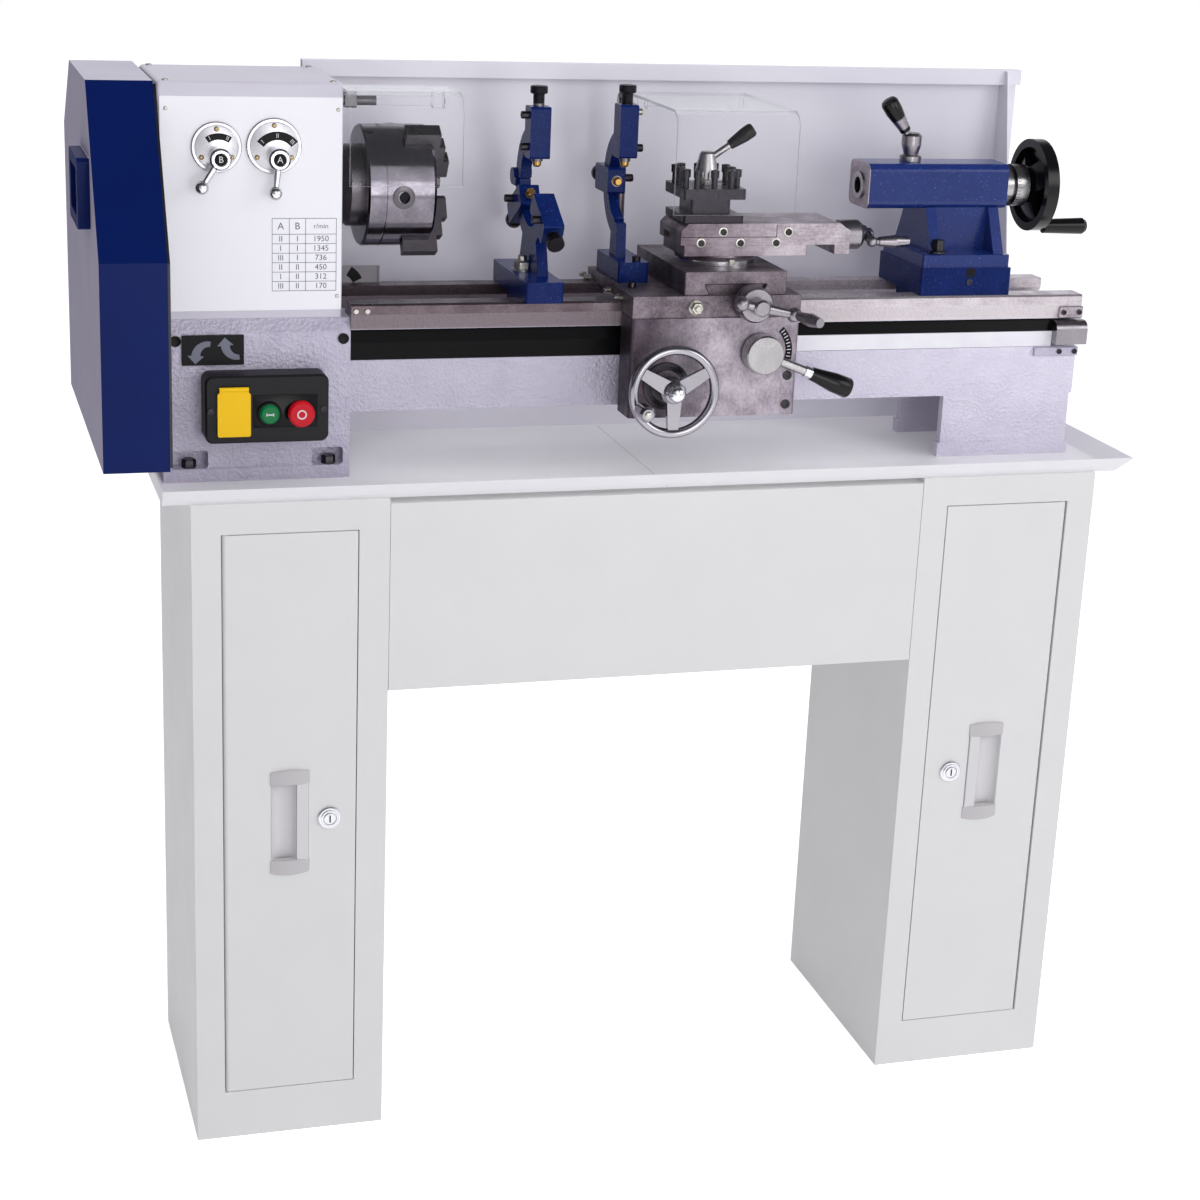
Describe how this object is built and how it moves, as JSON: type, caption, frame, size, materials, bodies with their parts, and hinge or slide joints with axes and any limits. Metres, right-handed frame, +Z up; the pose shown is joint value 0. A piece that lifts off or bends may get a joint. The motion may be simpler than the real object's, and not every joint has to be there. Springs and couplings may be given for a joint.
{
  "type": "bench lathe",
  "caption": "Small metalworking lathe on a two-cabinet stand, with geared headstock, chuck, carriage, compound slide, steady and follow rests, tailstock, clear guards and splash guard.",
  "frame": {"origin": "on the floor below the spindle axis, in the plane of the headstock's right face", "axes": "+X along the bed to the tailstock, +Y from the operator to the splash guard, +Z up"},
  "size_m": [1.143, 0.4389, 1.132],
  "materials": {
    "white_enamel": "smooth light enamel",
    "grey_enamel": "hammered silver-grey enamel on iron",
    "blue_enamel": "glossy blue enamel on iron",
    "black_paint": "satin black",
    "ground_iron": "ground and milled grey iron",
    "steel": "turned steel",
    "dark_steel": "blacked steel",
    "chrome": "polished plating",
    "brass": "turned brass",
    "black_plastic": "moulded",
    "green_plastic": "moulded",
    "red_plastic": "moulded",
    "yellow_plastic": "moulded",
    "clear_sheet": "clear bent sheet",
    "belt_rubber": "matt"
  },
  "bodies": {
    "machine": {"left_cabinet": "white_enamel", "right_cabinet": "white_enamel", "front_panel": "white_enamel", "chip_tray": "white_enamel", "splash_guard": "white_enamel", "bed": "ground_iron", "headstock_base": "grey_enamel", "headstock_housing": "grey_enamel", "headstock_cover": "grey_enamel", "switch_box": "black_plastic", "motor": "black_paint", "drive_belt": "belt_rubber", "leadscrew_cover": "black_paint", "leadscrew_bracket": "ground_iron", "guard_backplate": "black_paint"},
    "spindle": {"spindle": "dark_steel", "chuck_body": "steel"},
    "carriage": {"saddle": "ground_iron", "apron": "ground_iron", "follow_rest": "blue_enamel"},
    "tailstock": {"tailstock_base": "blue_enamel", "tailstock_body": "blue_enamel"},
    "left_door": {"left_door": "white_enamel"},
    "right_door": {"right_door": "white_enamel"},
    "left_lock": {"left_lock": "chrome"},
    "right_lock": {"right_lock": "chrome"},
    "start_button": {"start_button": "green_plastic"},
    "stop_button": {"stop_button": "red_plastic"},
    "switch_flap": {"switch_flap": "yellow_plastic"},
    "lever_a": {"lever_a": "chrome"},
    "lever_b": {"lever_b": "chrome"},
    "chuck_jaw_1": {"chuck_jaw_1": "dark_steel"},
    "chuck_jaw_2": {"chuck_jaw_2": "dark_steel"},
    "chuck_jaw_3": {"chuck_jaw_3": "dark_steel"},
    "idler_gear": {"idler_gear": "steel"},
    "leadscrew": {"leadscrew": "steel"},
    "input_shaft": {"input_shaft": "steel"},
    "motor_pulley": {"motor_pulley": "steel"},
    "gear_guard": {"gear_guard": "blue_enamel"},
    "chuck_guard": {"chuck_guard": "clear_sheet"},
    "tool_shield": {"tool_shield": "clear_sheet"},
    "follow_finger_top": {"follow_finger_top": "brass"},
    "follow_finger_side": {"follow_finger_side": "brass"},
    "apron_handwheel": {"apron_handwheel": "chrome"},
    "halfnut_lever": {"halfnut_lever": "steel"},
    "cross_slide": {"cross_slide": "ground_iron"},
    "cross_crank": {"cross_crank": "chrome"},
    "compound_base": {"compound_base": "ground_iron"},
    "top_slide": {"top_slide": "ground_iron"},
    "top_crank": {"top_crank": "chrome"},
    "toolpost": {"toolpost": "dark_steel"},
    "toolpost_lever": {"toolpost_lever": "steel"},
    "steady_base": {"steady_base": "blue_enamel"},
    "steady_arm": {"steady_arm": "blue_enamel"},
    "steady_finger_top": {"steady_finger_top": "brass"},
    "steady_finger_front": {"steady_finger_front": "brass"},
    "steady_finger_back": {"steady_finger_back": "brass"},
    "quill": {"quill": "steel"},
    "tail_wheel": {"tail_wheel": "black_paint"},
    "quill_lock": {"quill_lock": "steel"}
  },
  "joints": [
    {"name": "left_door_swing", "type": "hinge", "parent": "machine", "child": "left_door", "pos_m": [-0.132, -0.137, 0], "axis": [0, 0, -1], "range_deg": [0, 100]},
    {"name": "right_door_swing", "type": "hinge", "parent": "machine", "child": "right_door", "pos_m": [0.8, -0.137, 0], "axis": [0, 0, 1], "range_deg": [0, 100]},
    {"name": "left_lock_turn", "type": "hinge", "parent": "left_door", "child": "left_lock", "pos_m": [-0.025, -0.141, 0.37], "axis": [0, -1, 0], "range_deg": [0, 90]},
    {"name": "right_lock_turn", "type": "hinge", "parent": "right_door", "child": "right_lock", "pos_m": [0.691, -0.141, 0.37], "axis": [0, 1, 0], "range_deg": [0, 90]},
    {"name": "start_press", "type": "slide", "parent": "machine", "child": "start_button", "axis": [0, 1, 0], "range_m": [0, 0.004], "stiffness_N_per_m": 300},
    {"name": "stop_press", "type": "slide", "parent": "machine", "child": "stop_button", "axis": [0, 1, 0], "range_m": [0, 0.004], "stiffness_N_per_m": 300},
    {"name": "flap_swing", "type": "hinge", "parent": "machine", "child": "switch_flap", "pos_m": [0, -0.0949, 0.8245], "axis": [-1, 0, 0], "range_deg": [0, 100]},
    {"name": "lever_a_turn", "type": "hinge", "parent": "machine", "child": "lever_a", "pos_m": [-0.067, -0.055, 1.052], "axis": [0, 1, 0], "range_deg": [-35, 35]},
    {"name": "lever_b_turn", "type": "hinge", "parent": "machine", "child": "lever_b", "pos_m": [-0.1255, -0.055, 1.052], "axis": [0, 1, 0], "range_deg": [-35, 35]},
    {"name": "guard_swing", "type": "hinge", "parent": "machine", "child": "gear_guard", "pos_m": [-0.1876, 0.2466, 0.721], "axis": [0, 0, -1], "range_deg": [0, 100]},
    {"name": "chuck_guard_swing", "type": "hinge", "parent": "machine", "child": "chuck_guard", "pos_m": [0, -0.008, 1.104], "axis": [-1, 0, 0], "range_deg": [0, 95]},
    {"name": "spindle_turn", "type": "hinge", "parent": "machine", "child": "spindle", "pos_m": [0, 0, 1.017], "axis": [1, 0, 0], "continuous": true},
    {"name": "idler_turn", "type": "hinge", "parent": "machine", "child": "idler_gear", "pos_m": [0, -0.05491, 0.96591], "axis": [1, 0, 0], "continuous": true},
    {"name": "leadscrew_turn", "type": "hinge", "parent": "machine", "child": "leadscrew", "pos_m": [0, -0.0505, 0.861], "axis": [1, 0, 0], "continuous": true},
    {"name": "input_turn", "type": "hinge", "parent": "machine", "child": "input_shaft", "pos_m": [0, 0.045, 0.957], "axis": [1, 0, 0], "continuous": true},
    {"name": "motor_turn", "type": "hinge", "parent": "machine", "child": "motor_pulley", "pos_m": [0, 0.173, 0.831], "axis": [1, 0, 0], "continuous": true},
    {"name": "jaw_1_slide", "type": "slide", "parent": "spindle", "child": "chuck_jaw_1", "axis": [0, -0.5592, 0.829], "range_m": [-0.01, 0]},
    {"name": "jaw_2_slide", "type": "slide", "parent": "spindle", "child": "chuck_jaw_2", "axis": [0, -0.4384, -0.8988], "range_m": [-0.01, 0]},
    {"name": "jaw_3_slide", "type": "slide", "parent": "spindle", "child": "chuck_jaw_3", "axis": [0, 0.9976, 0.0698], "range_m": [-0.01, 0]},
    {"name": "apron_wheel_turn", "type": "hinge", "parent": "carriage", "child": "apron_handwheel", "pos_m": [0.336, -0.11, 0.8215], "axis": [0, 1, 0], "range_deg": [-900.5, 144.5]},
    {"name": "carriage_slide", "type": "slide", "parent": "machine", "child": "carriage", "axis": [1, 0, 0], "range_m": [-0.05, 0.008]},
    {"name": "halfnut_turn", "type": "hinge", "parent": "carriage", "child": "halfnut_lever", "pos_m": [0.439, -0.11, 0.856], "axis": [0, -1, 0], "range_deg": [0, 38]},
    {"name": "cross_crank_turn", "type": "hinge", "parent": "carriage", "child": "cross_crank", "pos_m": [0.425, -0.113, 0.91], "axis": [0, 1, 0], "range_deg": [-0.5, 6480.5]},
    {"name": "cross_slide_slide", "type": "slide", "parent": "carriage", "child": "cross_slide", "axis": [0, 1, 0], "range_m": [0, 0.045]},
    {"name": "compound_turn", "type": "hinge", "parent": "cross_slide", "child": "compound_base", "pos_m": [0.411, -0.028, 0], "axis": [0, 0, -1], "range_deg": [-12, 40]},
    {"name": "top_crank_turn", "type": "hinge", "parent": "top_slide", "child": "top_crank", "pos_m": [0, -0.028, 0.967], "axis": [1, 0, 0], "range_deg": [-3600.5, 1152.5]},
    {"name": "top_slide_slide", "type": "slide", "parent": "compound_base", "child": "top_slide", "axis": [1, 0, 0], "range_m": [-0.025, 0.008]},
    {"name": "toolpost_turn", "type": "hinge", "parent": "top_slide", "child": "toolpost", "pos_m": [0.397, -0.028, 0], "axis": [0, 0, 1], "range_deg": [-90, 90]},
    {"name": "toolpost_lever_turn", "type": "hinge", "parent": "top_slide", "child": "toolpost_lever", "pos_m": [0.397, -0.028, 0], "axis": [0, 0, 1], "range_deg": [-60, 60]},
    {"name": "tool_shield_swing", "type": "hinge", "parent": "carriage", "child": "tool_shield", "pos_m": [0, 0.066, 1.0975], "axis": [-1, 0, 0], "range_deg": [0, 95]},
    {"name": "follow_top_slide", "type": "slide", "parent": "carriage", "child": "follow_finger_top", "axis": [0, 0, 1], "range_m": [-0.005, 0.02]},
    {"name": "follow_side_slide", "type": "slide", "parent": "carriage", "child": "follow_finger_side", "axis": [0, 1, 0], "range_m": [-0.006, 0.02]},
    {"name": "steady_slide", "type": "slide", "parent": "machine", "child": "steady_base", "axis": [1, 0, 0], "range_m": [-0.05, 0.045]},
    {"name": "steady_arm_swing", "type": "hinge", "parent": "steady_base", "child": "steady_arm", "pos_m": [0, 0.068, 1.017], "axis": [-1, 0, 0], "range_deg": [0, 45]},
    {"name": "steady_top_slide", "type": "slide", "parent": "steady_arm", "child": "steady_finger_top", "axis": [0, 0, 1], "range_m": [-0.006, 0.02]},
    {"name": "steady_front_slide", "type": "slide", "parent": "steady_base", "child": "steady_finger_front", "axis": [0, -0.866, -0.5], "range_m": [-0.006, 0.02]},
    {"name": "steady_back_slide", "type": "slide", "parent": "steady_base", "child": "steady_finger_back", "axis": [0, 0.866, -0.5], "range_m": [-0.006, 0.02]},
    {"name": "tailstock_slide", "type": "slide", "parent": "machine", "child": "tailstock", "axis": [1, 0, 0], "range_m": [-0.01, 0.075]},
    {"name": "tail_wheel_turn", "type": "hinge", "parent": "tailstock", "child": "tail_wheel", "pos_m": [0, 0, 1.017], "axis": [1, 0, 0], "range_deg": [0, 4500]},
    {"name": "quill_slide", "type": "slide", "parent": "tailstock", "child": "quill", "axis": [-1, 0, 0], "range_m": [0, 0.05]},
    {"name": "quill_lock_turn", "type": "hinge", "parent": "tailstock", "child": "quill_lock", "pos_m": [0.644, 0, 0], "axis": [0, 0, 1], "range_deg": [0, 90]}
  ],
  "couplings": [
    {"joint": "idler_turn", "follows": "spindle_turn", "ratio": -0.66667},
    {"joint": "leadscrew_turn", "follows": "spindle_turn", "ratio": 0.5},
    {"joint": "input_turn", "follows": "spindle_turn", "ratio": -1.2727},
    {"joint": "motor_turn", "follows": "spindle_turn", "ratio": -2.5455},
    {"joint": "jaw_2_slide", "follows": "jaw_1_slide", "ratio": 1},
    {"joint": "jaw_3_slide", "follows": "jaw_1_slide", "ratio": 1},
    {"joint": "apron_wheel_turn", "follows": "carriage_slide", "rad_per_m": 314.16},
    {"joint": "cross_crank_turn", "follows": "cross_slide_slide", "rad_per_m": 2513.3},
    {"joint": "top_crank_turn", "follows": "top_slide_slide", "rad_per_m": 2513.3},
    {"joint": "quill_slide", "follows": "tail_wheel_turn", "m_per_rad": 0.00063662}
  ]
}
